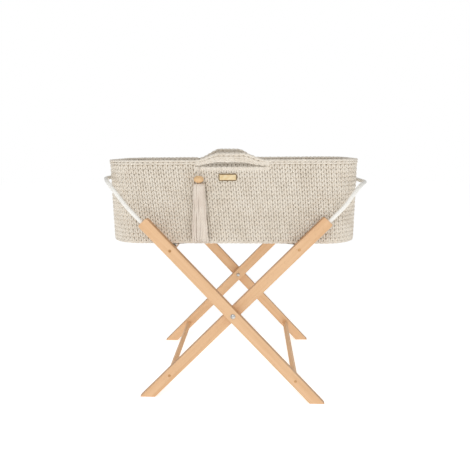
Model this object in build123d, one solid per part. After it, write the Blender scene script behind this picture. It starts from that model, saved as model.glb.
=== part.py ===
from build123d import *
from math import cos, degrees, radians, sin, sqrt, tan
import os

# Bassinet on a folding stand. Millimetres, +Z up, the origin on the floor under the middle of the
# stand. The front is -Y. The outer frame leans up towards -X (side -1), the inner towards +X (side 1).

# ---- driving dimensions ----
lean = {-1: radians(47.6), 1: radians(45.8)}  # the legs' angle above the floor
pivot_z = 285.0  # height of the crossing
leg_top_z = 573.0  # height of the middle of a leg's top end
leg_width = 35.0
leg_thick = 20.0
leg_edge = 1.6  # rounded long edges
leg_corner = 6.0  # rounded corners of the top end
stand_half_depth = 240.0  # the outer legs' outer faces
frame_gap = 1.5  # between an outer leg and the inner leg beside it

stretcher = 14.0  # square section, in line with the legs
stretcher_edge = 1.2
upper_stretcher_z = 487.0
lower_stretcher_z = 75.0

screw_head_r = 4.6
screw_head_deep = 3.0
screw_r = 2.0
screw_length = 55.0

bolt_r = 4.0
bolt_head_r = 8.0
bolt_head_high = 4.0
washer_r = 12.0
washer_thick = 1.2
nut_across = 13.0
nut_high = 6.5
fit = 0.05  # radial clearance between pieces of one frame
running = 0.1  # radial clearance of the inner legs on the pivot bolts

bow_r = 6.0
bow_in_leg = 40.0  # depth of the hole in a leg's top end
bow_offset = 4.0  # the hole lies this far below the leg's centre line
bow_rise = (62.0, 150.0)  # straight length out of the leg, and the bend's radius
bow_shoulder = (368.0, 205.0, 60.0)  # half length, half depth, bend radius
bow_end = (407.0, 105.0, 110.0)
bow_z = {-1: 691.0, 1: 677.0}  # height round the basket's end
bow_shoulder_drop = 5.0

sling_thick = 1.2
sling_over = 8.0  # the cloth's reach past each stretcher's middle
sling_half_y = 194.0
sling_waist = 150.0  # half depth at the middle, where the edges curve in

basket_x = -5.0  # the basket's middle
basket_half_x = 385.0
basket_half_y = 192.0
basket_corner = 105.0  # radius of its upright corners
basket_high = 235.6  # from the sling to the rim's lower edge
wall = 12.0
base_thick = 10.0
bottom_round = 20.0
rim_high = 15.0
rim_proud = 1.0

handle_half_x = 109.0
handle_x = {-1: -6.0, 1: -34.0}  # middles of the front and rear handle
handle_rise = {-1: 20.0, 1: 31.0}  # of the front and rear arch's top over the rim
handle_under_rise = {-1: 9.0, 1: 20.0}  # of its lower edge
slot_rise = {-1: 0.0, 1: 9.5}  # of the slot's lower edge at its middle
slot_edge_high = 11.5
slot_drop = 3.8  # from the rim's lower edge down to the slot's lower edge
slot_clear = 0.3  # between a handle's ends and the rim

label_x, label_drop = -14.5, 35.8  # its middle, below the rim's lower edge
label_size = (54.0, 21.0)
label_thick = 1.2
label_corner = 4.0
label_pin_r = 1.6

tassel_x = -98.0
loop_r = 1.5
bead_r = (14.5, 10.5)  # half width, half height
bead_top_drop = 30.0  # below the rim's lower edge
binding_high = 12.0
skirt_top = (17.0, 12.5)  # half width, half depth
skirt_bottom = (25.0, 13.0)
skirt_long = 168.0

mattress_thick = 50.0
mattress_gap = 8.0
cover_thick = 2.0

# ---- worked out ----
inner_face_y = stand_half_depth - leg_thick - frame_gap  # the inner legs' outer faces
inner_clear_y = inner_face_y - leg_thick  # the inner legs' inner faces
stretcher_corner = stretcher / 2 * sqrt(2)
sling_z = upper_stretcher_z + stretcher_corner + 0.3
base_z = sling_z + sling_thick + 0.3
rim_z = base_z + basket_high
slot_z = rim_z - slot_drop
wall_mid_y = basket_half_y - wall / 2
tassel_y = -(basket_half_y + bead_r[0] + 0.6)
bead_top_z = rim_z - bead_top_drop

written = []


def write(name, solid):
    solid.label = name
    export_step(solid, os.path.join("parts", name + ".step"))
    written.append(name)


def up_along(side):
    """The direction up the legs of one frame."""
    return Vector(side * cos(lean[side]), 0, sin(lean[side]))


def on_leg(side, z):
    """The point at height z on the centre line of one frame's legs, seen from the front."""
    return Vector(side * (z - pivot_z) / tan(lean[side]), 0, z)


def rod_y(radius, start, end, x=0.0, z=0.0):
    """A cylinder along Y from start to end."""
    low, high = min(start, end), max(start, end)
    return Pos(x, (low + high) / 2, z) * Rot(90, 0, 0) * Cylinder(radius, high - low)


def plan(inset, z):
    """The basket's outline at a height, inset from the wall's outer face."""
    size = (2 * (basket_half_x - inset), 2 * (basket_half_y - inset))
    return Pos(basket_x, 0, z) * RectangleRounded(*size, basket_corner - inset)


# ---- stand ----
def screws_of(side, face_y, grow=0.0):
    """Four countersunk wood screws: through a frame's legs into the ends of its stretchers."""
    group = []
    for place in (on_leg(side, upper_stretcher_z), on_leg(side, lower_stretcher_z)):
        for front in (-1, 1):
            head = Cone(screw_r + grow, screw_head_r + grow, screw_head_deep)
            head = Rot(-90 * front, 0, 0) * Pos(0, 0, -screw_head_deep / 2) * head
            head = Pos(place.X, front * face_y, place.Z) * head
            start = front * (face_y - screw_head_deep)
            end = front * (face_y - screw_length - grow)
            group.append(head + rod_y(screw_r + grow, start, end, place.X, place.Z))
    return group


def bow_hole(side):
    """The bottom of the hole for a bow in a leg's top end, seen from the front."""
    down = Vector(side * sin(lean[side]), 0, -cos(lean[side])) * bow_offset
    return on_leg(side, leg_top_z) + down - up_along(side) * bow_in_leg


def bow(side, face_mid_y):
    """A bent rod: out of the front leg's top, round the basket's end, into the rear leg's top."""
    start = bow_hole(side)
    rise = start + up_along(side) * (bow_in_leg + bow_rise[0])
    inset = stand_half_depth - leg_thick / 2 - face_mid_y
    front = [
        (start.X, -face_mid_y, start.Z),
        (rise.X, -face_mid_y, rise.Z),
        (side * bow_shoulder[0], -(bow_shoulder[1] - inset / 2), bow_z[side] - bow_shoulder_drop),
        (side * bow_end[0], -bow_end[1], bow_z[side]),
    ]
    rear = [(x, -y, z) for x, y, z in reversed(front)]
    radii = [bow_rise[1], bow_shoulder[2], bow_end[2]]
    line = FilletPolyline(*front, *rear, radius=radii + radii[::-1])
    section = Plane(line @ 0, z_dir=line % 0) * Circle(bow_r)
    return sweep(section, path=line)


def leg_blank(side):
    """A leg's plate, from y = 0 to its thickness: square top end, foot cut level with the floor."""
    up = up_along(side)
    across = Vector(-up.Z, 0, up.X) * (leg_width / 2)
    outline = []
    for edge, order in ((across, 1), (-across, -1)):
        top = on_leg(side, leg_top_z) + edge
        foot = top - up * (top.Z / up.Z)
        outline += [(top.X, top.Z), (foot.X, foot.Z)][::order]
    outline = Polygon(*outline, align=None)
    outline = fillet(outline.vertices().sort_by(Axis.Y)[-2:], leg_corner)
    plate = extrude(Plane.XZ * outline, amount=-leg_thick)
    broad_faces = plate.faces().sort_by(Axis.Y)
    long_edges = [
        edge
        for face in (broad_faces[0], broad_faces[-1])
        for edge in face.edges()
        if max((edge @ 0).Z, (edge @ 1).Z) > 0.01
    ]
    return fillet(long_edges, leg_edge)


def legs(side, face_y, bolt_hole_r, cuts):
    """The front and rear leg of one frame, with their holes."""
    pair = []
    for front in (-1, 1):
        y_low = -face_y if front < 0 else face_y - leg_thick
        leg = Pos(0, y_low, 0) * leg_blank(side)
        leg -= rod_y(bolt_hole_r, -2 * stand_half_depth, 2 * stand_half_depth, 0, pivot_z)
        for cut in cuts:
            leg -= cut
        pair.append(leg)
    return pair


def stretcher_bar(side, z, half_length):
    bar = Box(stretcher, 2 * half_length, stretcher)
    bar = fillet(bar.edges().filter_by(Axis.Y), stretcher_edge)
    place = on_leg(side, z)
    return Pos(place.X, 0, z) * Rot(0, -side * degrees(lean[side]), 0) * bar


def frame(name, side, face_y, bolt_hole_r):
    screws = screws_of(side, face_y)
    screw_holes = screws_of(side, face_y, fit)
    mid_y = face_y - leg_thick / 2
    bow_holes = []
    for front in (-1, 1):
        start = bow_hole(side)
        bottom = Plane(Vector(start.X, front * mid_y, start.Z), z_dir=up_along(side))
        bow_holes.append(extrude(bottom * Circle(bow_r + fit), amount=2 * bow_in_leg))
    front_leg, rear_leg = legs(side, face_y, bolt_hole_r, screw_holes + bow_holes)
    write(name + "_leg_front", front_leg)
    write(name + "_leg_rear", rear_leg)
    for where, z in (("upper", upper_stretcher_z), ("lower", lower_stretcher_z)):
        bar = stretcher_bar(side, z, face_y - leg_thick)
        for hole in screw_holes:
            bar -= hole
        write(name + "_" + where + "_stretcher", bar)
    write(name + "_frame_screws", Compound(children=screws))
    write(name + "_bow", bow(side, mid_y))


def pivot_bolt(front):
    """A domed bolt from the outer leg's outer face to the end of its nut."""
    head = Sphere(bolt_head_r * 1.25)
    head &= Pos(0, 0, bolt_head_r * 1.25) * Box(40, 40, 2 * bolt_head_high)
    head = Pos(0, 0, bolt_head_high - bolt_head_r * 1.25) * head
    head = Pos(0, front * stand_half_depth, pivot_z) * Rot(-90 * front, 0, 0) * head
    end = front * (inner_clear_y - nut_high + 1.5)
    return head + rod_y(bolt_r - fit, front * stand_half_depth, end, 0, pivot_z)


def pivot_nut(front):
    nut = extrude(RegularPolygon(nut_across / 2, 6, major_radius=False), nut_high)
    dome = Sphere(nut_across / 2 * 1.12)
    nut &= Pos(0, 0, nut_high - nut_across / 2 * 1.02) * dome
    nut -= Cylinder(bolt_r, 2 * (nut_high - 1.5))
    face = front * (inner_clear_y - 0.2)
    return Pos(0, face, pivot_z) * Rot(90 * front, 0, 0) * nut


def pivot_washer(front):
    ring = Cylinder(washer_r, washer_thick) - Cylinder(bolt_r + 0.2, washer_thick)
    mid = front * (stand_half_depth - leg_thick - washer_thick / 2)
    return Pos(0, mid, pivot_z) * Rot(90, 0, 0) * ring


def stand():
    frame("outer", -1, stand_half_depth, bolt_r + fit)
    frame("inner", 1, inner_face_y, bolt_r + running)
    for front, word in ((-1, "front"), (1, "rear")):
        write("pivot_bolt_" + word, pivot_bolt(front))
    write("pivot_nuts", Compound(children=[pivot_nut(-1), pivot_nut(1)]))
    write("pivot_washers", Compound(children=[pivot_washer(-1), pivot_washer(1)]))


# ---- sling ----
def sling():
    """The cloth between the upper stretchers, its front and rear edges curving in."""
    left = on_leg(-1, upper_stretcher_z).X - sling_over
    right = on_leg(1, upper_stretcher_z).X + sling_over
    outline = []
    for front in (-1, 1):
        y = front * sling_half_y
        waist = ((left + right) / 2, front * sling_waist)
        outline.append(ThreePointArc((left, y), waist, (right, y)))
    for x in (left, right):
        outline.append(Line((x, -sling_half_y), (x, sling_half_y)))
    cloth = extrude(make_face(Wire(outline)), sling_thick)
    write("sling_cloth", Pos(0, 0, sling_z) * cloth)


# ---- basket ----
def basket_shell():
    """The basket below its rim, in one piece: round bottom edge, open top."""
    outside = extrude(plan(0, base_z), basket_high)
    outside = fillet(outside.faces().sort_by(Axis.Z)[0].edges(), bottom_round)
    inside = extrude(plan(wall, base_z + base_thick), basket_high)
    inside = fillet(inside.faces().sort_by(Axis.Z)[0].edges(), bottom_round - wall)
    return outside - inside


def slot_block(y_sign, x_grow, low, high):
    """A block across one long wall where its handle is."""
    size = (2 * (handle_half_x + x_grow), 4 * wall, high - low)
    return Pos(handle_x[y_sign], y_sign * wall_mid_y, (low + high) / 2) * Box(*size)


def basket_body():
    shell = basket_shell()
    cut_z = base_z + base_thick
    below = Pos(basket_x, 0, cut_z - 50) * Box(1000, 500, 100)
    write("basket_base", shell & below)
    body = shell - below
    for y_sign in (-1, 1):
        body -= slot_block(y_sign, 0, slot_z - slot_edge_high, rim_z + 1)
    for pin in label_pins(fit):
        body -= pin
    write("basket_wall", body)


def rims_and_slots():
    ring = extrude(plan(-rim_proud, rim_z) - plan(wall + rim_proud, rim_z), rim_high)
    ring = fillet(ring.faces().sort_by(Axis.Z)[-1].edges(), 5)
    for y_sign in (-1, 1):
        ring -= slot_block(y_sign, 0, rim_z - 1, rim_z + rim_high + 1)
    left, right = ring.solids().sort_by(Axis.X)
    write("rim_left", left)
    write("rim_right", right)
    for y_sign, word in ((-1, "front"), (1, "rear")):
        write("slot_edge_" + word, slot_edge(y_sign))


def slot_edge(y_sign):
    """The thick row under a slot: flat below, its top rising to the middle at the rear."""
    half, low = handle_half_x, slot_z - slot_edge_high
    if slot_rise[y_sign]:
        top = ThreePointArc((-half, slot_z), (0, slot_z + slot_rise[y_sign]), (half, slot_z))
    else:
        top = Line((-half, slot_z), (half, slot_z))
    outline = [top, Line((-half, low), (half, low))]
    outline += [Line((x, low), (x, slot_z)) for x in (-half, half)]
    depth = wall / 2 + rim_proud
    bar = extrude(Plane.XZ * make_face(Wire(outline)), depth, both=True)
    long_edges = [edge for edge in bar.edges() if abs((edge @ 0).X - (edge @ 1).X) > half]
    return Pos(handle_x[y_sign], y_sign * wall_mid_y, 0) * fillet(long_edges, 3)


def handle(y_sign):
    """A band that arches over the slot, its square ends against the rim."""
    half = handle_half_x - slot_clear
    low, high = rim_z, rim_z + rim_high
    upper = ThreePointArc((-half, high), (0, high + handle_rise[y_sign]), (half, high))
    lower = ThreePointArc((-half, low), (0, low + handle_under_rise[y_sign]), (half, low))
    sides = [Line((x, low), (x, high)) for x in (-half, half)]
    band = extrude(Plane.XZ * make_face(Wire([upper, lower, *sides])), wall / 2, both=True)
    return Pos(handle_x[y_sign], y_sign * wall_mid_y, 0) * band


def label_pins(grow=0.0):
    middle_z = rim_z - label_drop
    face = -(basket_half_y + label_thick + 0.2)
    pins = []
    for x in (-1, 1):
        at = label_x + x * (label_size[0] / 2 - 5)
        head = rod_y(label_pin_r + grow, face - 0.8, face, at, middle_z)
        pins.append(head + rod_y(label_pin_r * 0.6 + grow, face, face + 9, at, middle_z))
    return pins


def label():
    plate = Box(label_size[0], label_thick, label_size[1])
    plate = fillet(plate.edges().filter_by(Axis.Y), label_corner)
    mid_y = -(basket_half_y + 0.2 + label_thick / 2)
    plate = Pos(label_x, mid_y, rim_z - label_drop) * plate
    for pin in label_pins(fit):
        plate -= pin
    write("label_plate", plate)
    write("label_pins", Compound(children=label_pins()))


def basket():
    basket_body()
    rims_and_slots()
    for y_sign, word in ((-1, "front"), (1, "rear")):
        write("handle_" + word, handle(y_sign))
    label()


# ---- tassel ----
def tassel_loop():
    """A cord from the bead up the wall, over the slot's edge and down inside."""
    outside = -(basket_half_y + rim_proud + loop_r + 0.5)
    inside = -(basket_half_y - wall - rim_proud - loop_r - 0.5)
    over_z = slot_z + loop_r + 0.3
    points = [
        (tassel_x, tassel_y, bead_top_z - 8),
        (tassel_x, tassel_y, bead_top_z + 3),
        (tassel_x, outside, slot_z - 14),
        (tassel_x, outside, over_z),
        (tassel_x, inside, over_z),
        (tassel_x, inside, slot_z - 16),
    ]
    line = FilletPolyline(*points, radius=[4, 4, 2.5, 2.5])
    return sweep(Plane(line @ 0, z_dir=line % 0) * Circle(loop_r), path=line)


def tassel():
    loop = tassel_loop()
    write("tassel_loop", loop)
    bead = scale(Sphere(1), by=(bead_r[0], bead_r[0], bead_r[1]))
    bead = Pos(tassel_x, tassel_y, bead_top_z - bead_r[1]) * bead
    bead -= Pos(tassel_x, tassel_y, bead_top_z - bead_r[1]) * Cylinder(loop_r + 1, 60)
    write("tassel_bead", bead)
    top_z = bead_top_z - 2 * bead_r[1] + 1.0
    tie = Ellipse(skirt_top[0] * 0.72, skirt_top[1] * 0.9)
    neck = Pos(tassel_x, tassel_y, top_z - binding_high) * tie
    write("tassel_binding", extrude(neck, binding_high - 1.5))
    upper = Pos(tassel_x, tassel_y, top_z - binding_high - 0.2) * Ellipse(*skirt_top)
    lower_z = top_z - binding_high - skirt_long
    lower = Pos(tassel_x, tassel_y, lower_z) * Ellipse(*skirt_bottom)
    write("tassel_skirt", loft([lower, upper]))


# ---- mattress ----
def cushion(inset, low, high, low_round, high_round):
    block = extrude(plan(wall + mattress_gap + inset, low), high - low)
    block = fillet(block.faces().sort_by(Axis.Z)[0].edges(), low_round)
    return fillet(block.faces().sort_by(Axis.Z)[-1].edges(), high_round)


def mattress():
    low = base_z + base_thick + 0.4
    high = low + mattress_thick
    core = cushion(cover_thick, low + cover_thick, high - cover_thick, 8, 10)
    write("mattress_cover", cushion(0, low, high, 10, 12) - core)
    write("mattress_core", core)


os.makedirs("parts", exist_ok=True)
stand()
sling()
basket()
tassel()
mattress()
print(len(written), "nodes")
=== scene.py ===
from math import cos, pi, radians, sin, sqrt

import bmesh
import bpy
import numpy as np
from mathutils import Matrix, Vector


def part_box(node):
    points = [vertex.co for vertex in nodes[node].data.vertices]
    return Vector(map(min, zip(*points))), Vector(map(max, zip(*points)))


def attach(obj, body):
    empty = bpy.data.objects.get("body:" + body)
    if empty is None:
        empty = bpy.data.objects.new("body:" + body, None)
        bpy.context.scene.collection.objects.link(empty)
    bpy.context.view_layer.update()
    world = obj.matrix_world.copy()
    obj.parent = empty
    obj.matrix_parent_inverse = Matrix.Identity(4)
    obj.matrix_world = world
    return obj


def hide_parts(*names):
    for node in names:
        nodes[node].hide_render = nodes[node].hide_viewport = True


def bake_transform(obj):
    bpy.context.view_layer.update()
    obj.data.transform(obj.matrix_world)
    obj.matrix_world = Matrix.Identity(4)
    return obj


# Looks of the bassinet on its folding stand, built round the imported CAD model. Metres, +Z up,
# the front is -Y, as in the model.

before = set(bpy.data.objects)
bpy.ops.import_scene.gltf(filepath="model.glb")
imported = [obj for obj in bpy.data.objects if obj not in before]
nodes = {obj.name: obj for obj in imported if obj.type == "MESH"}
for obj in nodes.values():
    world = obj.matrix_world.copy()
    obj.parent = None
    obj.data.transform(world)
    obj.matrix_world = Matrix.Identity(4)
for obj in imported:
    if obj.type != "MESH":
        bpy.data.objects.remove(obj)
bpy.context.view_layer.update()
rng = np.random.default_rng(20)

# ---- places, in metres, from the CAD nodes ----
wall_low, wall_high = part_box("basket_wall")
base_low, base_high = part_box("basket_base")
rim_low, rim_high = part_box("rim_right")
slot_low, slot_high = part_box("slot_edge_front")
handle_low, handle_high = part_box("handle_front")
HANDLE_X = {  # the low and high end of the front (-1) and rear (1) handle
    face: (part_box(node)[0].x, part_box(node)[1].x)
    for face, node in ((-1, "handle_front"), (1, "handle_rear"))
}
mattress_low, mattress_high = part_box("mattress_cover")
skirt_low, skirt_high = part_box("tassel_skirt")
bead_low, bead_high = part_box("tassel_bead")
plate_low, plate_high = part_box("label_plate")
sling_low, sling_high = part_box("sling_cloth")

BASKET_X = (wall_low.x + wall_high.x) / 2
HALF_X = (wall_high.x - wall_low.x) / 2
HALF_Y = (wall_high.y - wall_low.y) / 2
CORNER = 0.105  # radius of the basket's upright corners
WALL = 0.012
BOTTOM_ROUND = 0.008
TAPER = 0.001  # how much narrower the basket's sides stand at the bottom
BASE_Z = base_low.z
SLOT_Z = slot_high.z
RIM_Z = rim_low.z
RIM_TOP = rim_high.z
HANDLE_RISE = {-1: 0.0180, 1: 0.0290}  # of the front and rear handle over the rim
HANDLE_DROP = 0.0075  # of the handles' lowest row under the rest of the band
SLOT_RISE = {-1: 0.0, 1: 0.010}  # of the row under each slot, at its middle
LEAN = {"outer": radians(180 - 47.6), "inner": radians(45.8)}  # the legs' angle above +X

SIDE_LIGHT = 0.45  # of the studio's white surroundings
TOP_LIGHT = 0.5
STITCH = 0.0149  # width of one V
ROW = 0.0129  # height of one row
ROW_SHIFT = 0.087  # how far each row stands back from the one below, in stitches
CHAIN = 0.0152  # length of one stitch of the rim's chain
FOOT = 0.0075  # height of the chain round the basket's foot


# ---- node helpers ----
class Shader:
    """Builds one material's nodes with short calls."""

    def __init__(self, name):
        self.material = bpy.data.materials.new(name)
        self.material.use_nodes = True
        self.tree = self.material.node_tree
        self.bsdf = self.tree.nodes["Principled BSDF"]
        self.place = self.add("ShaderNodeTexCoord").outputs["Object"]

    def add(self, kind, inputs=(), **settings):
        node = self.tree.nodes.new(kind)
        for key, value in settings.items():
            setattr(node, key, value)
        for key, value in dict(inputs).items():
            self.put(node.inputs[key], value)
        return node

    def put(self, socket, value):
        if isinstance(value, bpy.types.NodeSocket):
            self.tree.links.new(value, socket)
        else:
            socket.default_value = value

    def math(self, operation, a, b=0.0):
        return self.add("ShaderNodeMath", {0: a, 1: b}, operation=operation).outputs[0]

    def noise(self, scale, place=None, detail=3.0, rough=0.5):
        inputs = {"Vector": place or self.place, "Scale": scale, "Detail": detail, "Roughness": rough}
        return self.add("ShaderNodeTexNoise", inputs).outputs["Fac"]

    def ramp(self, value, low, high):
        """Value's step from 0 at low to 1 at high, smooth."""
        inputs = {"Value": value, "From Min": low, "From Max": high}
        node = self.add("ShaderNodeMapRange", inputs, interpolation_type="SMOOTHSTEP")
        return node.outputs["Result"]

    def mix(self, share, a, b):
        node = self.add("ShaderNodeMix", {0: share, 6: a, 7: b}, data_type="RGBA")
        return node.outputs[2]

    def bump(self, height, distance, strength=1.0, after=None):
        inputs = {"Height": height, "Distance": distance, "Strength": strength}
        if after is not None:
            inputs["Normal"] = after
        return self.add("ShaderNodeBump", inputs).outputs["Normal"]

    def finish(self, **inputs):
        for key, value in inputs.items():
            self.put(self.bsdf.inputs[key.replace("_", " ")], value)
        return self.material


def colour(red, green, blue):
    """A colour given as it looks on a screen, 0 to 255, in linear light."""
    def linear(v):
        v /= 255
        return v / 12.92 if v <= 0.04045 else ((v + 0.055) / 1.055) ** 2.4
    return (linear(red), linear(green), linear(blue), 1.0)


# ---- materials ----
def beech(name, along, light, dark, fleck, painted_edge_shade=0.0):
    """Oiled beech, with its grain along a direction: soft growth bands and short dark flecks; painted shade on the
    narrow faces and a painted highlight on sharp edges.
    """
    m = Shader(name)
    turn = Vector((0, 0, 1)).rotation_difference(Vector(along)).inverted().to_euler()
    spun = m.add("ShaderNodeMapping", {"Vector": m.place, "Rotation": tuple(turn)}).outputs[0]
    banded = m.add("ShaderNodeMapping", {"Vector": spun, "Scale": (1, 1, 0.05)}).outputs[0]
    pored = m.add("ShaderNodeMapping", {"Vector": spun, "Scale": (1, 1, 0.14)}).outputs[0]
    bands = m.noise(55, banded, 4, 0.6)
    tone = m.noise(9, banded, 2)
    pores = m.noise(900, pored, 2, 0.6)
    base = m.mix(m.ramp(bands, 0.35, 0.7), light, dark)
    base = m.mix(m.math("MULTIPLY", m.ramp(tone, 0.4, 0.75), 0.35), base, dark)
    marks = m.ramp(pores, 0.6, 0.72)
    base = m.mix(m.math("MULTIPLY", marks, 0.45), base, fleck)
    geometry = m.add("ShaderNodeNewGeometry").outputs
    # Painted shade: faces whose normal is not along Y (the legs' narrow top, bottom and side faces) are darkened
    # toward the fleck colour, as if less light fell on them.
    facing = m.add("ShaderNodeSeparateXYZ", {0: geometry["True Normal"]}).outputs["Y"]
    narrow_face_shade = m.ramp(m.math("ABSOLUTE", facing), 0.75, 0.35)
    base = m.mix(m.math("MULTIPLY", narrow_face_shade, painted_edge_shade), base, fleck)
    # Painted highlight: sharp convex edges, found by pointiness, are lightened toward the light wood colour.
    edge = m.ramp(geometry["Pointiness"], 0.52, 0.6)
    base = m.mix(m.math("MULTIPLY", edge, 0.25), base, light)
    rough = m.math("ADD", m.math("MULTIPLY", bands, 0.15), 0.45)
    height = m.math("SUBTRACT", m.math("MULTIPLY", bands, 0.5), marks)
    normal = m.bump(height, 0.00015, 0.5)
    return m.finish(Base_Color=base, Roughness=rough, Normal=normal)


def coated_steel():
    m = Shader("white_coat")
    peel = m.noise(700, detail=1)
    dust = m.ramp(m.noise(35), 0.5, 0.8)
    base = m.mix(m.math("MULTIPLY", dust, 0.3), colour(243, 241, 235), colour(232, 229, 221))
    rough = m.math("ADD", m.math("MULTIPLY", m.noise(60), 0.12), 0.32)
    return m.finish(Base_Color=base, Roughness=rough, Normal=m.bump(peel, 0.00008, 0.4))


def metal(name, light, dark, rough, brushed=400.0):
    m = Shader(name)
    stretched = m.add("ShaderNodeMapping", {"Vector": m.place, "Scale": (1, 1, 0.08)}).outputs[0]
    scratches = m.noise(brushed, stretched, 3)
    base = m.mix(m.ramp(m.noise(120), 0.35, 0.7), light, dark)
    roughness = m.math("ADD", m.math("MULTIPLY", scratches, 0.2), rough)
    normal = m.bump(scratches, 0.00005, 0.4)
    return m.finish(Base_Color=base, Metallic=1.0, Roughness=roughness, Normal=normal)


def cotton(name, light, dark, shade, ply_pitch=0.009, fuzz=1800.0):
    """Cotton cord: plies twisted round the strand with painted shade in the grooves between them, fine fibres,
    uneven natural colour.
    """
    m = Shader(name)
    strand = m.add("ShaderNodeAttribute", attribute_name="strand").outputs["Vector"]
    parts = m.add("ShaderNodeSeparateXYZ", {0: strand}).outputs
    angle = m.math("ARCTAN2", parts[2], parts[1])
    twist = m.math("ADD", m.math("MULTIPLY", angle, 3.0), m.math("MULTIPLY", parts[0], 2 * pi / ply_pitch))
    ply = m.math("ADD", m.math("MULTIPLY", m.math("SINE", twist), 0.5), 0.5)
    fibres = m.noise(fuzz, detail=3, rough=0.7)
    patches = m.ramp(m.noise(28, detail=3), 0.35, 0.7)
    base = m.mix(patches, light, dark)
    # Painted shade: the grooves between the plies are darkened toward the shade colour.
    base = m.mix(m.math("MULTIPLY", m.ramp(ply, 0.45, 0.0), 0.4), base, shade)
    base = m.mix(m.math("MULTIPLY", m.ramp(fibres, 0.62, 0.35), 0.25), base, shade)
    height = m.math("ADD", m.math("MULTIPLY", ply, 1.0), m.math("MULTIPLY", fibres, 0.5))
    m.finish(Base_Color=base, Roughness=0.9, Normal=m.bump(height, 0.0006, 0.6))
    return m.finish(Sheen_Weight=0.25, Sheen_Roughness=0.6)


def woven(name, light, dark, thread, seam=None):
    """Plain weave: two sets of threads over and under each other, seen on any side."""
    m = Shader(name)
    parts = m.add("ShaderNodeSeparateXYZ", {0: m.place}).outputs
    across = m.math("SINE", m.math("MULTIPLY", parts[0], 2 * pi / thread))
    along = m.math("SINE", m.math("MULTIPLY", parts[1], 2 * pi / thread))
    up = m.math("SINE", m.math("MULTIPLY", parts[2], 2 * pi / thread))
    weave = m.math("MULTIPLY", m.math("ADD", across, up), along)
    slub = m.noise(90, detail=4)
    base = m.mix(m.ramp(slub, 0.35, 0.75), light, dark)
    base = m.mix(m.math("MULTIPLY", m.ramp(weave, 0.2, -1.0), 0.3), base, dark)
    height = m.math("ADD", weave, m.noise(2500, detail=2))
    m.finish(Base_Color=base, Roughness=0.88, Normal=m.bump(height, 0.0003, 0.5))
    return m.finish(Sheen_Weight=0.2, Sheen_Roughness=0.5)


def floor_material():
    m = Shader("studio_floor")
    grain = m.noise(3)
    base = m.mix(grain, colour(250, 250, 250), colour(252, 252, 252))
    return m.finish(Base_Color=base, Roughness=0.9, Emission_Color=base, Emission_Strength=0.55)


CORD_LIGHT = colour(238, 230, 217)
CORD_DARK = colour(229, 219, 204)
CORD_SHADE = colour(205, 193, 175)
WOOD_LIGHT = colour(232, 191, 148)
WOOD_DARK = colour(220, 174, 128)
WOOD_FLECK = colour(170, 118, 78)

cord_cotton = cotton("cotton_cord", CORD_LIGHT, CORD_DARK, CORD_SHADE)
# Dark cotton for the shells and cores under the stitches: painted shade that shows through the gaps between the
# stitches.
gap_shade_cotton = cotton("cotton_gap_shade", colour(168, 155, 136), colour(158, 145, 126), colour(134, 121, 102))
tassel_cotton = cotton("tassel_cotton", colour(238, 227, 214), colour(228, 214, 200), colour(204, 188, 170))
canvas = woven("sling_canvas", colour(247, 246, 243), colour(232, 229, 222), 0.0016)
# Dark cloth for the tubes along the sling's front and rear edges: painted shade on the edge of the canvas.
sling_edge_shade_cloth = woven("sling_edge_shade", colour(120, 114, 104), colour(98, 92, 84), 0.001)
ticking = woven("mattress_cotton", colour(245, 243, 238), colour(233, 229, 221), 0.0009)
piping_cotton = woven("mattress_piping", colour(236, 230, 219), colour(222, 214, 201), 0.0012)
steel_coat = coated_steel()
bronze = metal("bronzed_screws", colour(214, 168, 120), colour(178, 132, 88), 0.4)
zinc = metal("pivot_zinc", colour(214, 214, 212), colour(172, 172, 170), 0.25)
brass = metal("label_brass", colour(252, 232, 192), colour(244, 216, 164), 0.3)
patina = metal("label_patina", colour(120, 88, 50), colour(92, 66, 38), 0.5)
bead_wood = beech("bead_wood", (1, 0, 0), colour(232, 194, 146), colour(216, 172, 122), colour(176, 128, 84))


# ---- mesh helpers ----
def mesh_object(name, points, faces, material, smooth=True):
    """A mesh from an array of points and groups of faces, each group an array with one width."""
    mesh = bpy.data.meshes.new(name)
    corners = np.concatenate([f.reshape(-1) for f in faces]).astype(np.int32)
    sides = np.concatenate([np.full(len(f), f.shape[1]) for f in faces])
    starts = np.concatenate([[0], np.cumsum(sides)[:-1]]).astype(np.int32)
    mesh.vertices.add(len(points))
    mesh.vertices.foreach_set("co", np.asarray(points, np.float32).reshape(-1))
    mesh.loops.add(len(corners))
    mesh.loops.foreach_set("vertex_index", corners)
    mesh.polygons.add(len(starts))
    mesh.polygons.foreach_set("loop_start", starts)
    mesh.polygons.foreach_set("use_smooth", np.full(len(starts), smooth))
    mesh.update(calc_edges=True)
    mesh.materials.append(material)
    piece = bpy.data.objects.new(name, mesh)
    bpy.context.scene.collection.objects.link(piece)
    return piece


def face_outwards(piece):
    """Turns a small closed mesh's faces to the outside."""
    work = bmesh.new()
    work.from_mesh(piece.data)
    bmesh.ops.recalc_face_normals(work, faces=work.faces)
    work.to_mesh(piece.data)
    work.free()
    return piece


def unit(v):
    return v / np.maximum(np.linalg.norm(v, axis=-1, keepdims=True), 1e-12)


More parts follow.
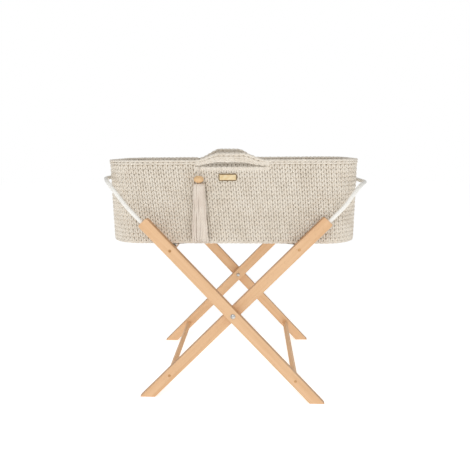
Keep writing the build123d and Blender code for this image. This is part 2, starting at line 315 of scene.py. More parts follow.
def tubes(lines, out, wide, deep, sides):
    """Closed tubes along many lines at once. lines and out are (tube, ring, 3); wide and deep are the
    half sizes of each ring's section, across the line and outwards."""
    count, rings, _ = lines.shape
    tangent = unit(np.gradient(lines, axis=1))
    side = unit(np.cross(tangent, out))
    lift = np.cross(side, tangent)
    turn = np.linspace(0, 2 * pi, sides, endpoint=False)
    wide = np.broadcast_to(wide, (count, rings))[..., None, None]
    deep = np.broadcast_to(deep, (count, rings))[..., None, None]
    around = np.cos(turn)[:, None] * side[:, :, None] * wide
    around = around + np.sin(turn)[:, None] * lift[:, :, None] * deep
    points = lines[:, :, None] + around
    ids = np.arange(count * rings * sides).reshape(count, rings, sides)
    ahead = np.roll(ids, -1, axis=2)
    quads = np.stack([ids[:, :-1], ids[:, 1:], ahead[:, 1:], ahead[:, :-1]], axis=-1).reshape(-1, 4)
    caps = np.concatenate([ids[:, 0], ids[:, -1, ::-1]])
    run = np.linalg.norm(np.diff(lines, axis=1), axis=-1)
    run = np.concatenate([np.zeros((count, 1)), np.cumsum(run, axis=1)], axis=1)
    strand = np.empty((count, rings, sides, 3))
    strand[..., 0] = run[..., None] + rng.uniform(0, 0.05, (count, 1, 1))
    strand[..., 1] = np.cos(turn)
    strand[..., 2] = np.sin(turn)
    return points.reshape(-1, 3), quads, caps, strand.reshape(-1, 3)


def strands(name, groups, material):
    """One piece from several results of tubes()."""
    points, faces, data, base = [], [], [], 0
    for group_points, quads, caps, strand in groups:
        points.append(group_points)
        data.append(strand)
        faces += [quads + base, caps + base]
        base += len(group_points)
    piece = mesh_object(name, np.concatenate(points), faces, material)
    attribute = piece.data.attributes.new("strand", "FLOAT_VECTOR", "POINT")
    attribute.data.foreach_set("vector", np.concatenate(data).astype(np.float32).reshape(-1))
    return piece


def outline(s, inset, corner=None):
    """Points, tangents and outward normals on the basket's outline at lengths s along it, anticlockwise
    from the front's middle. The lengths are those of the outline at no inset."""
    radius = CORNER
    flat_x, flat_y, arc = HALF_X - radius, HALF_Y - radius, pi / 2 * radius
    legs = np.array([flat_x, arc, 2 * flat_y, arc, 2 * flat_x, arc, 2 * flat_y, arc, flat_x])
    ends = np.cumsum(legs)
    s = np.mod(s, ends[-1])
    leg = np.clip(np.searchsorted(ends, s, side="right"), 0, 8)
    t = s - (ends - legs)[leg]
    angle = np.array([-90, -90, 0, 0, 90, 90, 180, 180, 270])[leg] * pi / 180
    angle = angle + np.where(leg % 2 == 1, t / radius, 0)
    normal = np.stack([np.cos(angle), np.sin(angle), 0 * angle], axis=-1)
    tangent = np.stack([-np.sin(angle), np.cos(angle), 0 * angle], axis=-1)
    sign_x = np.array([1, 1, 1, 1, 1, -1, -1, -1, -1])[leg]
    sign_y = np.array([-1, -1, -1, 1, 1, 1, 1, -1, -1])[leg]
    centre = np.stack([sign_x * flat_x, sign_y * flat_y, 0 * angle], axis=-1)
    centre[:, 0] = np.where(leg == 0, t, centre[:, 0])
    centre[:, 1] = np.where(leg == 2, -flat_y + t, centre[:, 1])
    centre[:, 0] = np.where(leg == 4, flat_x - t, centre[:, 0])
    centre[:, 1] = np.where(leg == 6, flat_y - t, centre[:, 1])
    centre[:, 0] = np.where(leg == 8, -flat_x + t, centre[:, 0])
    reach = np.reshape(radius - inset, (-1, 1))
    points = centre + normal * reach
    points[:, 0] += BASKET_X
    return points, tangent, normal


ROUND = 4 * (HALF_X - CORNER) + 4 * (HALF_Y - CORNER) + 2 * pi * CORNER


def inset_at(z):
    """How far the wall's outer face stands in from the outline at a height: taper and round foot."""
    dz = np.asarray(z, float) - BASE_Z
    foot = np.clip(BOTTOM_ROUND - dz, 0, BOTTOM_ROUND)
    rounded = BOTTOM_ROUND - np.sqrt(BOTTOM_ROUND**2 - foot**2)
    return rounded + TAPER * np.clip(1 - dz / (RIM_Z - BASE_Z), 0, 1) ** 1.5


# ---- crochet ----
def vees(origin, axis, across, out, reach, spread, thick, rise, rings=7, sides=8, open_foot=0.02,
         long=1.34, open_head=0.50):
    """Both legs of V-shaped stitches. origin and the directions are (stitch, 3); open_foot and open_head
    are how far apart the legs stand at the ends of the V, in shares of spread from its middle."""
    u = np.linspace(0, 1, rings)
    count = len(origin)
    spread, thick = np.reshape(spread, (-1, 1, 1)), np.reshape(thick, (-1, 1))
    groups = []
    body = np.sin(pi * np.clip(u * 0.92 + 0.04, 0, 1)) ** 0.5
    for leg in (-1, 1):
        wobble = rng.normal(0, 0.03, (count, 1, 1))
        along = ((u - 0.16) * long)[None, :, None] * reach * (1 + wobble)
        apart = open_foot + (open_head - open_foot) * (1 - (1 - u) ** 1.1)
        apart = leg * apart[None, :, None] * spread * (1 + rng.normal(0, 0.03, (count, 1, 1)))
        lift = (rise * (np.sin(pi * (u * 0.9 + 0.02)) * 1.5 - 1.0))[None, :, None]
        lift = lift + rng.normal(0, 0.0002, (count, 1, 1))
        lines = origin[:, None] + along * axis[:, None] + apart * across[:, None] + lift * out[:, None]
        size = thick * body[None, :] * (1 + rng.normal(0, 0.03, (count, 1)))
        groups.append(tubes(lines, np.broadcast_to(out[:, None], lines.shape), size, size * 1.05, sides))
    return groups


def up_of(count):
    return np.tile([0.0, 0.0, 1.0], (count, 1))


def in_slot(points, z):
    """Whether places on the wall fall in the gap under a handle."""
    inside = np.zeros(len(points), bool)
    for face, (low, high) in HANDLE_X.items():
        near = (points[:, 0] > low) & (points[:, 0] < high)
        inside |= near & (points[:, 1] * face > HALF_Y - 0.03)
    return inside & (z > slot_low.z - 0.004)


def rim_spans():
    """Where the rim runs along the outline, on the right and on the left of the handles."""
    (front_low, front_high), (rear_low, rear_high) = HANDLE_X[-1], HANDLE_X[1]
    back = ROUND / 2 + BASKET_X
    return {
        "right": (front_high - BASKET_X, back - rear_high),
        "left": (back - rear_low, ROUND + front_low - BASKET_X),
    }


def wall_rows(face):
    """V stitches all over the wall's outer (1) or inner (-1) face, in 8 groups round it."""
    count = int(round(ROUND / STITCH))
    rows = int(round((RIM_Z - BASE_Z - FOOT) / ROW))
    groups = [[] for _ in range(8)]
    for row in range(rows):
        s = np.mod(np.arange(count) - row * ROW_SHIFT, count) * ROUND / count
        z = BASE_Z + FOOT + row * (RIM_Z + 0.0015 - BASE_Z - FOOT) / rows
        if face < 0 and z < BASE_Z + 0.012:
            continue
        depth = inset_at(z + ROW * 0.3)
        depth = depth + 0.0045 if face > 0 else depth + WALL - 0.0030
        points, tangent, normal = outline(s, np.full(count, depth))
        tilt = (inset_at(z) - inset_at(z + ROW)) / ROW if face > 0 else 0.0
        axis = unit(up_of(count) + normal * tilt)
        out = unit(normal - up_of(count) * tilt) * face
        points[:, 2] = z
        keep = ~in_slot(points, z)
        sector = (s / ROUND * 8).astype(int)
        for n in range(8):
            pick = keep & (sector == n)
            if pick.any():
                rings, sides = (7, 8) if face > 0 else (6, 6)
                groups[n] += vees(points[pick], axis[pick], tangent[pick], out[pick],
                                  ROW, STITCH, 0.0036, 0.0017, rings, sides, 0.12, 1.3, 0.38)
    return groups


def shell(name, s, profile, closed):
    """A dark body under the stitches, painted shade seen through the gaps between them: a closed profile of (inset,
    z) swept along the outline.
    """
    rings = []
    for inset, z in profile:
        points, _, _ = outline(s, np.full(len(s), inset))
        points[:, 2] = z
        rings.append(points)
    points = np.stack(rings, axis=1)
    count, wide, _ = points.shape
    ids = np.arange(count * wide).reshape(count, wide)
    ahead = np.roll(ids, -1, axis=1)
    first, second = (ids, np.roll(ids, -1, axis=0)) if closed else (ids[:-1], ids[1:])
    ahead_first, ahead_second = (ahead, np.roll(ahead, -1, axis=0)) if closed else (ahead[:-1], ahead[1:])
    quads = np.stack([first, second, ahead_second, ahead_first], axis=-1).reshape(-1, 4)
    faces = [quads] if closed else [quads, ids[:1], ids[-1:, ::-1]]
    return face_outwards(mesh_object(name, points.reshape(-1, 3), faces, gap_shade_cotton))


def wall():
    outer, inner = wall_rows(1), wall_rows(-1)
    words = ("front_right", "right_front", "right_rear", "rear_right",
             "rear_left", "left_rear", "left_front", "front_left")
    pieces = []
    for n, word in enumerate(words):
        piece = strands("basket_stitches_" + word, outer[n] + inner[n], cord_cotton)
        pieces.append(piece)
    heights = BASE_Z + np.array([0.004, 0.007, 0.011, 0.02, 0.06, 0.12, 0.17])
    heights = np.append(heights, slot_low.z + 0.002)
    outside = [(float(inset_at(z)) + 0.0042, z) for z in heights]
    inside = [(float(inset_at(z)) + WALL - 0.0042, z) for z in heights[::-1] if z > BASE_Z + 0.009]
    lower = shell("basket_backing_low", np.linspace(0, ROUND, 240, endpoint=False), outside + inside, True)
    pieces.append(lower)
    band = [(0.0042, slot_low.z - 0.001), (0.003, RIM_Z + 0.003), (0.003, RIM_TOP - 0.003),
            (WALL - 0.003, RIM_TOP - 0.003), (WALL - 0.003, RIM_Z + 0.003), (WALL - 0.0042, slot_low.z - 0.001)]
    for word, (start, end) in rim_spans().items():
        pieces.append(shell("basket_backing_" + word, np.linspace(start, end, 130), band, False))
    return pieces


def basket_floor():
    """The base: rings of stitches from the foot of the wall to the middle, over a thin dark backing that is painted
    shade in the gaps between them.
    """
    rows, groups = 0, []
    inset = 0.011
    while inset < HALF_Y - 0.004:
        half_x, half_y = HALF_X - inset, HALF_Y - inset
        radius = min(max(CORNER - inset, 0.018), half_y)
        length = 4 * (half_x - radius) + 4 * (half_y - radius) + 2 * pi * radius
        count = max(int(round(length / STITCH)), 8)
        points, tangent, normal = ring_of(half_x, half_y, radius, count)
        points[:, 2] = BASE_Z + 0.005
        groups += vees(points, -normal, tangent, -up_of(count), ROW * 0.98, STITCH, 0.004, 0.0012, 5, 6)
        inset += ROW * 0.95
        rows += 1
    floor = strands("basket_floor_stitches", groups, cord_cotton)
    s = np.linspace(0, ROUND, 160, endpoint=False)
    rims = []
    for z in (BASE_Z + 0.0035, BASE_Z + 0.0065):
        points, _, _ = outline(s, np.full(len(s), 0.014))
        points[:, 2] = z
        rims.append(points)
    ids = np.arange(320).reshape(2, 160)
    ahead = np.roll(ids, -1, axis=1)
    sides = np.stack([ids[0], ahead[0], ahead[1], ids[1]], axis=-1)
    plate = mesh_object("basket_floor_backing", np.concatenate(rims), [sides, ids[:1, ::-1], ids[1:]],
                        gap_shade_cotton, smooth=False)
    return [floor, face_outwards(plate)]


def foot_chain():
    """The chain round the basket's bottom edge."""
    count = int(round(ROUND / CHAIN))
    s = (np.arange(count) + 0.3) * ROUND / count
    points, tangent, normal = outline(s, np.full(count, 0.0052))
    points[:, 2] = BASE_Z + 0.0042
    groups = chain(points, tangent, up_of(count), normal, 0.0021, 0.0026, 0.0012)
    return strands("basket_foot_chain", groups, cord_cotton)


def ring_of(half_x, half_y, radius, count):
    """Evenly spaced points on a rounded rectangle about the basket's middle."""
    quarter = [(half_x - radius, half_y - radius)]
    t = np.arange(count) / count
    flat_x, flat_y, arc = half_x - radius, half_y - radius, pi / 2 * radius
    legs = np.array([2 * flat_x, arc, 2 * flat_y, arc, 2 * flat_x, arc, 2 * flat_y, arc])
    ends = np.cumsum(legs)
    s = t * ends[-1]
    leg = np.clip(np.searchsorted(ends, s, side="right"), 0, 7)
    run = s - (ends - legs)[leg]
    angle = np.array([-90, -90, 0, 0, 90, 90, 180, 180])[leg] * pi / 180
    angle = angle + np.where(leg % 2 == 1, run / max(radius, 1e-6), 0)
    normal = np.stack([np.cos(angle), np.sin(angle), 0 * angle], axis=-1)
    tangent = np.stack([-np.sin(angle), np.cos(angle), 0 * angle], axis=-1)
    corner_x = np.array([0, 1, 1, 1, 0, -1, -1, -1])[leg] * flat_x
    corner_y = np.array([-1, -1, 0, 1, 1, 1, 0, -1])[leg] * flat_y
    corner_x = np.where(leg == 0, -flat_x + run, corner_x)
    corner_x = np.where(leg == 4, flat_x - run, corner_x)
    corner_y = np.where(leg == 2, -flat_y + run, corner_y)
    corner_y = np.where(leg == 6, flat_y - run, corner_y)
    points = np.stack([corner_x, corner_y, 0 * angle], axis=-1) + normal * radius
    points[:, 0] += BASKET_X
    return points, tangent, normal


def chain(points, tangent, across, out, half_wide, thick, rise, sides=8):
    """A row of linked stitches lying along a line, each a V that points along it."""
    return vees(points, tangent, across, out, CHAIN, half_wide / 0.50, thick, rise, 7, sides, 0.25, 1.38)


def band_chains(points, tangent, normal, z, high, up):
    """The chains round one stretch of rim: on its outer face, its top and its inner face."""
    count = len(points)
    groups = []
    middle = points.copy()
    middle[:, 2] = z
    for face in (1, -1):
        place = middle + normal * (0.0032 if face > 0 else -0.0032)
        groups += chain(place, tangent, up, normal * face, high * 0.28, high * 0.24, 0.0018)
    top = middle + up * (high / 2 - 0.0036)
    groups += chain(top, tangent, normal, up, 0.0041, 0.0036, 0.0012)
    return groups


def rims():
    """The rim on the left and right of the handles."""
    pieces = []
    for word, (start, end) in rim_spans().items():
        count = int(round((end - start) / CHAIN))
        s = start + (np.arange(count) + 0.3) * (end - start) / count
        points, tangent, normal = outline(s, np.full(count, WALL / 2))
        z = np.full(count, (RIM_Z + RIM_TOP) / 2)
        groups = band_chains(points, tangent, normal, z, RIM_TOP - RIM_Z, up_of(count))
        piece = strands("rim_chain_" + word, groups, cord_cotton)
        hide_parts("rim_" + word)
        pieces.append(piece)
    return pieces


def arch(t, rise, ramp=0.35):
    """A soft arch's height along it, t from 0 to 1."""
    edge = np.clip((np.minimum(t, 1 - t) - 0.01) / ramp, 0, 1)
    return rise * (edge * edge * (3 - 2 * edge)) * (0.93 + 0.07 * np.sin(pi * t))


def handle(word, face):
    """The arched band over one slot, front (-1) or rear (1): chains over a core."""
    low, high = HANDLE_X[face]
    length = high - low
    count = int(round(length * 1.04 / CHAIN))
    t = (np.arange(count) + 0.3) / count
    x = low + t * length
    rise = HANDLE_RISE[face]
    slope = (arch(np.clip(t + 0.01, 0, 1), rise) - arch(np.clip(t - 0.01, 0, 1), rise)) / (0.02 * length)
    y_mid = face * (HALF_Y - WALL / 2)
    points = np.stack([x, np.full(count, y_mid), 0 * x], axis=-1)
    tangent = unit(np.stack([np.ones(count), 0 * x, slope], axis=-1))
    up = unit(np.stack([-slope, 0 * x, np.ones(count)], axis=-1))
    normal = np.tile([0.0, face, 0.0], (count, 1))
    z = (RIM_Z + RIM_TOP) / 2 + arch(t, rise)
    high = RIM_TOP - RIM_Z + 0.0035 * arch(t, 1.0)[:, None]
    groups = band_chains(points, tangent, normal, z, high, up)
    lower = points.copy()
    lower[:, 2] = z
    lower = lower - up * (high / 2 - 0.0036)
    drop = HANDLE_DROP * arch(t, 1.0)[:, None]
    for side in (1, -1):
        row = lower - up * drop * 0.9 + normal * side * 0.0030
        groups += chain(row, tangent, up, normal * side, 0.0038, 0.0036, 0.0014)
    groups += chain(lower - up * drop, tangent, normal, -up, 0.0041, 0.0034, 0.001)
    piece = strands("handle_chain_" + word, groups, cord_cotton)
    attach(piece, "handle_" + word)
    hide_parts("handle_" + word)
    t = np.linspace(0.005, 0.995, 60)
    line = np.stack([low + t * length, np.full(60, y_mid), (RIM_Z + RIM_TOP) / 2 + arch(t, rise)], axis=-1)
    # The core is coloured dark: painted shade in the gaps between the chains.
    core = tubes(line[None], np.tile([0.0, face, 0.0], (1, 60, 1)), 0.0052, 0.0042, 12)
    core = strands("handle_core_" + word, [core], gap_shade_cotton)
    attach(core, "handle_" + word)


def slot_edge(word, face):
    """The smooth chain along the lower edge of one slot, over a filling where it rises."""
    low, high = HANDLE_X[face]
    length = high - low
    count = int(round(length / CHAIN))
    t = (np.arange(count) + 0.3) / count
    points = np.stack([low + t * length, np.full(count, face * (HALF_Y - WALL / 2)), 0 * t], axis=-1)
    tangent = np.tile([1.0, 0.0, 0.0], (count, 1))
    normal = np.tile([0.0, face, 0.0], (count, 1))
    lift = arch(t, SLOT_RISE[face], 0.1)
    points[:, 2] = SLOT_Z - 0.0056 + lift
    groups = chain(points, tangent, normal, up_of(count), 0.0040, 0.0046, 0.0008)
    for share in (1.0, 0.5) if SLOT_RISE[face] else (1.0,):
        lower = points - up_of(count) * (0.004 + (1 - share) * lift[:, None])
        groups += chain(lower, tangent, normal, up_of(count), 0.0036, 0.0040, 0.0)
    piece = strands("slot_chain_" + word, groups, cord_cotton)
    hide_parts("slot_edge_" + word)
    t = np.linspace(0.005, 0.995, 60)
    deep = 0.005 + arch(t, SLOT_RISE[face], 0.1) / 2
    middle = face * (HALF_Y - WALL / 2)
    line = np.stack([low + t * length, np.full(60, middle), SLOT_Z - 0.0085 + deep - 0.005], axis=-1)
    # The filling is coloured dark: painted shade in the gaps between the chains.
    core = tubes(line[None], np.tile([0.0, 0.0, 1.0], (1, 60, 1)), 0.003, deep[None], 12)
    return piece, strands("slot_core_" + word, [core], gap_shade_cotton)


def basket():
    wall_pieces = wall()
    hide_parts("basket_wall")
    floor_pieces = basket_floor()
    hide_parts("basket_base")
    pieces = wall_pieces + floor_pieces + rims() + [foot_chain()]
    for word, face in (("front", -1), ("rear", 1)):
        pieces += slot_edge(word, face)
        handle(word, face)
    for piece in pieces:
        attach(piece, "basket")


# ---- tassel ----
def smooth_line(points, count):
    """Points along a Catmull-Rom curve through the given ones."""
    points = np.asarray(points, float)
    padded = np.concatenate([[2 * points[0] - points[1]], points, [2 * points[-1] - points[-2]]])
    t = np.linspace(0, len(points) - 1 - 1e-9, count)
    i = t.astype(int)
    f = (t - i)[:, None]
    a, b, c, d = padded[i], padded[i + 1], padded[i + 2], padded[i + 3]
    return 0.5 * (2 * b + (c - a) * f + (2 * a - 5 * b + 4 * c - d) * f**2 + (3 * b - a - 3 * c + d) * f**3)


def tassel():
    """Cords folded over under the bead and hanging together, a little uneven at their ends."""
    mid_x, mid_y = (bead_low.x + bead_high.x) / 2, (bead_low.y + bead_high.y) / 2
    top, low = bead_low.z - 0.0006, skirt_low.z
    lines, sizes = [], []
    rings = 26
    for layer, (share, count) in enumerate(((1.0, 30), (0.72, 20), (0.4, 12))):
        for n in range(count):
            angle = 2 * pi * (n + 0.5 * layer) / count + rng.normal(0, 0.05)
            edge_x, edge_y = cos(angle) * share, sin(angle) * share
            end = low + rng.uniform(0, 0.007)
            drift = rng.normal(0, 0.0012)
            points = [
                (mid_x + edge_x * 0.006, mid_y + edge_y * 0.005, top - 0.0035 - 0.002 * layer),
                (mid_x + edge_x * 0.0115, mid_y + edge_y * 0.0088, top - 0.0045 - 0.002 * layer),
                (mid_x + edge_x * 0.0146, mid_y + edge_y * 0.0105, top - 0.011),
                (mid_x + edge_x * 0.0150, mid_y + edge_y * 0.0108, top - 0.030),
                (mid_x + edge_x * 0.0172 + drift, mid_y + edge_y * 0.0108, top - 0.075),
                (mid_x + edge_x * 0.0200 - drift, mid_y + edge_y * 0.0108, top - 0.125),
                (mid_x + edge_x * 0.0228 + drift, mid_y + edge_y * 0.0106, end),
            ]
            lines.append(smooth_line(points, rings))
            sizes.append(rng.uniform(0.0020, 0.0025))
    lines = np.array(lines)
    sizes = np.array(sizes)[:, None] * np.linspace(1, 1, rings)[None]
    sizes[:, -1] *= 0.75
    out = np.tile([0.0, -1.0, 0.0], (len(lines), rings, 1))
    cords = strands("tassel_cords", [tubes(lines, out, sizes, sizes, 8)], tassel_cotton)
    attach(cords, "tassel")
    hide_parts("tassel_skirt")
    turns, steps = 5, 200
    angle = np.linspace(0, 2 * pi * turns, steps)
    z = np.linspace(top - 0.0125, top - 0.0015, steps)
    wind = np.stack([mid_x + 0.0065 * np.cos(angle), mid_y + 0.0058 * np.sin(angle), z], axis=-1)
    radial = np.stack([np.cos(angle), np.sin(angle), 0 * angle], axis=-1)
    binding = strands("tassel_winding", [tubes(wind[None], radial[None], 0.0012, 0.0012, 8)], tassel_cotton)
    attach(binding, "tassel")
    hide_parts("tassel_binding")
    tassel_loop(mid_x, mid_y)


def tassel_loop(x, y):
    """Two-ply cord from the bead up the wall, over the slot's edge and down inside."""
    low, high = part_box("tassel_loop")
    over = high.z - 0.0016
    outside, inside = -HALF_Y - 0.003, high.y - 0.0017
    route = [
        (x, y, low.z + 0.002), (x, y, bead_high.z + 0.001), (x, outside - 0.004, bead_high.z + 0.008),
        (x, outside, SLOT_Z - 0.012), (x, outside + 0.0004, over - 0.0035), (x, outside + 0.004, over),
        (x, inside - 0.004, over), (x, inside, over - 0.004), (x, inside, SLOT_Z - 0.015),
    ]
    line = smooth_line(route, 90)
    turn = np.linspace(0, 2 * pi * 14, 90)
    plies = []
    for start in (0, pi):
        around = np.stack([np.cos(turn + start), np.sin(turn + start) * 0.6, np.sin(turn + start) * 0.6], axis=-1)
        plies.append(line + around * 0.0007)
    plies = np.array(plies)
    out = np.tile([1.0, 0.0, 0.0], (2, 90, 1))
    loop = strands("tassel_hanger", [tubes(plies, out, 0.0009, 0.0009, 8)], tassel_cotton)
    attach(loop, "tassel")
    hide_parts("tassel_loop")


# ---- label ----
def rounded_loop(half_x, half_z, radius, steps=6):
    points = []
    for n, (sx, sz) in enumerate(((1, -1), (1, 1), (-1, 1), (-1, -1))):
        for k in range(steps + 1):
            angle = pi / 2 * (n - 1 + k / steps)
            points.append((sx * (half_x - radius) + cos(angle) * radius,
                           sz * (half_z - radius) + sin(angle) * radius))
    return np.array(points)


def label():
    """A thin brass plate: rounded border, a dark engraved line inside it, a softly domed field."""
    mid = (plate_low + plate_high) / 2
    half_x, half_z = (plate_high.x - plate_low.x) / 2, (plate_high.z - plate_low.z) / 2
    back, face = plate_high.y, plate_low.y
    steps = [
        (0.0000, back), (0.0000, face + 0.0004), (0.0004, face), (0.0009, face), (0.0011, face + 0.0007),
        (0.0026, face + 0.0007), (0.0029, face + 0.0002), (0.0060, face + 0.00005),
    ]
    rings = []
    for inset, y in steps:
        loop = rounded_loop(half_x - inset, half_z - inset, max(0.004 - inset, 0.0008))
        ring = np.stack([loop[:, 0] + mid.x, np.full(len(loop), y), loop[:, 1] + mid.z], axis=-1)
        rings.append(ring)
    count = len(rings[0])
    ids = np.arange(count * len(rings)).reshape(len(rings), count)
    ahead = np.roll(ids, -1, axis=1)
    quads = np.stack([ids[:-1], ahead[:-1], ahead[1:], ids[1:]], axis=-1)
    plate = mesh_object("label_plate_face", np.concatenate(rings),
                        [quads.reshape(-1, 4), ids[:1, ::-1], ids[-1:]], brass, smooth=False)
    face_outwards(plate)
    plate.data.materials.append(patina)
    for polygon in plate.data.polygons:
        band = polygon.index // count
        if polygon.index < quads.size // 4 and band in (0, 1, 3, 4, 5):
            polygon.material_index = 1
    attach(plate, "basket")
    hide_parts("label_plate")


# ---- sling ----
def sling():
    """Canvas between the upper stretchers, with a sleeve round each and a dark tube along the front and rear edge,
    painted shade under the canvas's edges.
    """
    left_low, left_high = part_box("outer_upper_stretcher")
    right_low, right_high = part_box("inner_upper_stretcher")
    left = ((left_low.x + left_high.x) / 2, (left_low.z + left_high.z) / 2)
    right = ((right_low.x + right_high.x) / 2, (right_low.z + right_high.z) / 2)
    radius = 0.0108
    top = (sling_low.z + sling_high.z) / 2
    line = []
    for n in range(17):
        angle = radians(-60 - n * 300 / 17)
        line.append((left[0] + cos(angle) * radius, left[1] + sin(angle) * radius))
    run = np.linspace(0, 1, 61)
    for t in run:
        line.append((left[0] + (right[0] - left[0]) * t, top))
    for n in range(1, 18):
        angle = radians(90 - n * 300 / 17)
        line.append((right[0] + cos(angle) * radius, right[1] + sin(angle) * radius))
    line = np.array(line)
    middle = (left[0] + right[0]) / 2
    span = (right[0] - left[0]) / 2
    half_y = sling_high.y - 0.0015
    waist = half_y - 0.150
    share = np.clip(np.abs(line[:, 0] - middle) / span, 0, 1)
    depth = half_y - waist * (1 - share**2)
    across = np.linspace(-1, 1, 61)
    points = np.stack([np.repeat(line[:, :1], 61, 1), depth[:, None] * across[None], np.repeat(line[:, 1:], 61, 1)],
                      axis=-1)
    inner = np.clip(1 - share**6, 0, 1)[:, None]
    ripple = np.sin(across[None] * 23 + line[:, :1] * 40) * np.clip(np.abs(across[None]) - 0.6, 0, 1) * 0.0016
    points[..., 2] += ripple * inner - 0.0008 * inner * np.abs(across[None]) ** 8
    ids = np.arange(points.shape[0] * 61).reshape(points.shape[0], 61)
    quads = np.stack([ids[:-1, :-1], ids[:-1, 1:], ids[1:, 1:], ids[1:, :-1]], axis=-1).reshape(-1, 4)
    cloth = mesh_object("sling_canvas_sheet", points.reshape(-1, 3), [quads], canvas)
    thick = cloth.modifiers.new("thickness", "SOLIDIFY")
    thick.thickness = 0.0009
    thick.offset = 0.0
    shaded_edges = []
    # Painted shade: a dark tube along each edge of the canvas.
    for face in (-1, 1):
        edge = points[:, 0 if face < 0 else -1].copy()
        edge[:, 1] -= face * 0.0004
        out = np.tile([0.0, 0.0, 1.0], (1, len(edge), 1))
        shaded_edges.append(tubes(edge[None], out, 0.0022, 0.0011, 8))
    shaded_edge = strands("sling_edge_shade", shaded_edges, sling_edge_shade_cloth)
    for piece in (cloth, shaded_edge):
        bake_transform(piece)
    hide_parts("sling_cloth")


# ---- mattress ----
def pad_mesh(shrink):
    """A closed rounded pad, as a starting shape for the cloth."""
    low, high = mattress_low.z + shrink, mattress_high.z - shrink
    inset = (mattress_low.y + HALF_Y) + shrink
    profile = [(0.012, low), (0.003, low + 0.006), (0.0, low + 0.014), (0.0, high - 0.014),
               (0.003, high - 0.006), (0.012, high)]
    s = np.linspace(0, ROUND, 200, endpoint=False)
    rings = []
    for extra, z in profile:
        points, _, _ = outline(s, np.full(len(s), inset + extra))
        points[:, 2] = z
        rings.append(points)
    ids = np.arange(len(s) * len(rings)).reshape(len(rings), len(s))
    ahead = np.roll(ids, -1, axis=1)
    quads = np.stack([ids[:-1], ahead[:-1], ahead[1:], ids[1:]], axis=-1).reshape(-1, 4)
    faces = [quads, ids[:1, ::-1], ids[-1:]]
    return face_outwards(mesh_object("mattress_pad", np.concatenate(rings), faces, ticking))


def apply_modifier(piece, name):
    bpy.context.view_layer.objects.active = piece
    with bpy.context.temp_override(object=piece, active_object=piece, selected_objects=[piece]):
        bpy.ops.object.modifier_apply(modifier=name)


def coords(piece):
    co = np.empty(len(piece.data.vertices) * 3, np.float32)
    piece.data.vertices.foreach_get("co", co)
    return co.reshape(-1, 3).astype(float)


def set_coords(piece, co):
    piece.data.vertices.foreach_set("co", co.astype(np.float32).reshape(-1))
    piece.data.update()


def inflate(piece, pressure, cap, frames=20):
    """Swells a closed mesh with cloth under pressure; no point moves further than cap."""
    rest = coords(piece)
    cloth = piece.modifiers.new("puff", "CLOTH")
    cloth.settings.use_pressure = True
    cloth.settings.uniform_pressure_force = pressure
    cloth.settings.effector_weights.gravity = 0
    cloth.settings.tension_stiffness = 20
    cloth.settings.compression_stiffness = 20
    cloth.point_cache.frame_end = frames
    for step in range(1, frames + 1):
        bpy.context.scene.frame_set(step)
    apply_modifier(piece, cloth.name)
    moved = coords(piece) - rest
    size = np.linalg.norm(moved, axis=1, keepdims=True)
    set_coords(piece, rest + moved * np.minimum(1, cap / np.maximum(size, 1e-9)))


def settled(piece, point):
    """The place on a piece's surface nearest to a point."""
    return piece.closest_point_on_mesh(Vector(point))[1]


def mattress():
    pad = pad_mesh(0.004)
    remesh = pad.modifiers.new("voxels", "REMESH")
    remesh.mode = "VOXEL"
    remesh.voxel_size = 0.006
    apply_modifier(pad, remesh.name)
    inflate(pad, 4.0, 0.0055)
    smooth = pad.modifiers.new("even", "SMOOTH")
    smooth.factor = 0.5
    smooth.iterations = 3
    apply_modifier(pad, smooth.name)
    subdivide = pad.modifiers.new("fine", "SUBSURF")
    subdivide.levels = 1
    apply_modifier(pad, subdivide.name)
    co = coords(pad)
    centre = (mattress_low.z + mattress_high.z) / 2
    near_top = np.clip((np.abs(co[:, 2] - centre) - 0.012) / 0.01, 0, 1)
    step = 0.062
    first = np.abs(np.mod((co[:, 0] + co[:, 1]) / step, 1) - 0.5) * step
    second = np.abs(np.mod((co[:, 0] - co[:, 1]) / step, 1) - 0.5) * step
    channel = np.exp(-(first / 0.005) ** 2) + np.exp(-(second / 0.005) ** 2)
    co[:, 2] -= np.sign(co[:, 2] - centre) * near_top * np.clip(channel, 0, 1) * 0.0035
    low = np.array([mattress_low.x, mattress_low.y, mattress_low.z])
    high = np.array([mattress_high.x, mattress_high.y, mattress_high.z])
    set_coords(pad, np.clip(co, low, high))
    for polygon in pad.data.polygons:
        polygon.use_smooth = True
    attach(pad, "mattress")
    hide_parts("mattress_cover", "mattress_core")
    inset = mattress_low.y + HALF_Y
    s = np.linspace(0, ROUND, 400)
    seams = []
    for z, extra in ((mattress_low.z + 0.0075, 0.0025), (mattress_high.z - 0.0075, 0.0025)):
        points, _, normal = outline(s, np.full(len(s), inset + extra))
        points[:, 2] = z
        points = np.array([settled(pad, point) for point in points + normal * 0.004])
        seams.append(tubes(points[None], normal[None], 0.0018, 0.0018, 8))
    piping = strands("mattress_piping", seams, piping_cotton)
    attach(piping, "mattress")


# ---- stand ----
def dress(node, material):
    mesh = nodes[node].data
    mesh.materials.clear()
    mesh.materials.append(material)


def stand():
    for name, angle in LEAN.items():
        wood = beech(name + "_beech", (cos(angle), 0, sin(angle)), WOOD_LIGHT, WOOD_DARK, WOOD_FLECK, 0.55)
        for part in ("leg_front", "leg_rear"):
            dress(name + "_" + part, wood)
        cross = beech(name + "_cross_beech", (0, 1, 0), WOOD_LIGHT, WOOD_DARK, WOOD_FLECK)
        for part in ("upper_stretcher", "lower_stretcher"):
            dress(name + "_" + part, cross)
        dress(name + "_frame_screws", bronze)
        dress(name + "_bow", steel_coat)
    for node in ("pivot_bolt_front", "pivot_bolt_rear", "pivot_nuts", "pivot_washers"):
        dress(node, zinc)
    dress("tassel_bead", bead_wood)
    dress("label_pins", brass)


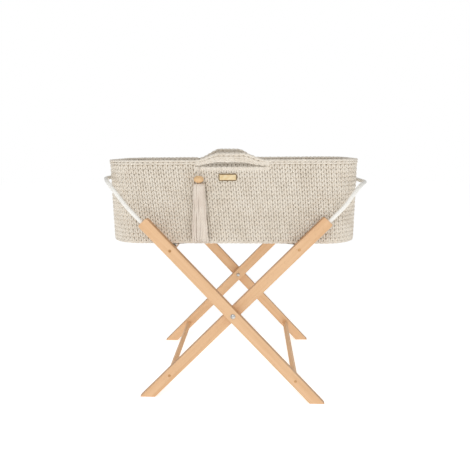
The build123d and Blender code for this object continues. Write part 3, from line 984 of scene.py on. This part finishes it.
# ---- studio ----
def studio_world():
    """A white backdrop, and soft light on the object: strong from the sides, weaker from above."""
    world = bpy.data.worlds.new("studio_world")
    world.use_nodes = True
    tree = world.node_tree
    background = tree.nodes["Background"]
    seen = tree.nodes.new("ShaderNodeLightPath").outputs["Is Camera Ray"]
    place = tree.nodes.new("ShaderNodeTexCoord").outputs["Generated"]
    height = tree.nodes.new("ShaderNodeSeparateXYZ")
    tree.links.new(place, height.inputs[0])
    fade = tree.nodes.new("ShaderNodeMapRange")
    tree.links.new(height.outputs["Z"], fade.inputs["Value"])
    fade.inputs["From Min"].default_value = 0.0
    fade.inputs["From Max"].default_value = 0.9
    fade.inputs["To Min"].default_value = SIDE_LIGHT
    fade.inputs["To Max"].default_value = TOP_LIGHT
    choice = tree.nodes.new("ShaderNodeMix")
    tree.links.new(seen, choice.inputs[0])
    tree.links.new(fade.outputs["Result"], choice.inputs[2])
    choice.inputs[3].default_value = 1.0
    tree.links.new(choice.outputs[0], background.inputs["Strength"])
    background.inputs["Color"].default_value = (1.0, 1.0, 1.0, 1.0)
    return world


def studio():
    scene = bpy.context.scene
    floor = mesh_object("studio_floor", np.array([(-9, -9, 0), (9, -9, 0), (9, 9, 0), (-9, 9, 0)], float),
                        [np.array([[0, 1, 2, 3]])], floor_material(), smooth=False)
    floor.location.z = -0.0005
    scene.world = studio_world()
    for name, place, size, power in (("key", (-0.8, -2.4, 2.3), 1.3, 20.5), ("fill", (1.6, -2.2, 1.5), 1.6, 8.5)):
        lamp = bpy.data.lights.new(name, "AREA")
        lamp.shape = "DISK"
        lamp.size = size
        lamp.energy = power
        holder = bpy.data.objects.new(name, lamp)
        holder.location = place
        aim = Vector((0, 0, 0.5)) - Vector(place)
        holder.rotation_euler = aim.to_track_quat("-Z", "Y").to_euler()
        scene.collection.objects.link(holder)
    scene.view_settings.view_transform = "Standard"
    scene.view_settings.look = "None"


def camera():
    """The studio camera: a little above the rim, in front and slightly to the right."""
    place = Vector((0.06225, -1.45824, 0.78221))
    yaw, pitch, roll = radians(-2.55), radians(11.42), radians(-0.36)
    ahead = Vector((sin(yaw) * cos(pitch), cos(yaw) * cos(pitch), -sin(pitch)))
    level = Vector((cos(yaw), -sin(yaw), 0))
    up = level.cross(ahead)
    right = cos(roll) * level + sin(roll) * up
    up = cos(roll) * up - sin(roll) * level
    data = bpy.data.cameras.new("studio_camera")
    data.sensor_width = 36
    data.lens = 32.95
    holder = bpy.data.objects.new("studio_camera", data)
    turn = Matrix((right, up, -ahead)).transposed().to_4x4()
    holder.matrix_world = Matrix.Translation(place) @ turn
    bpy.context.scene.collection.objects.link(holder)
    bpy.context.scene.camera = holder


camera()
studio()
stand()
basket()
tassel()
label()
sling()
mattress()
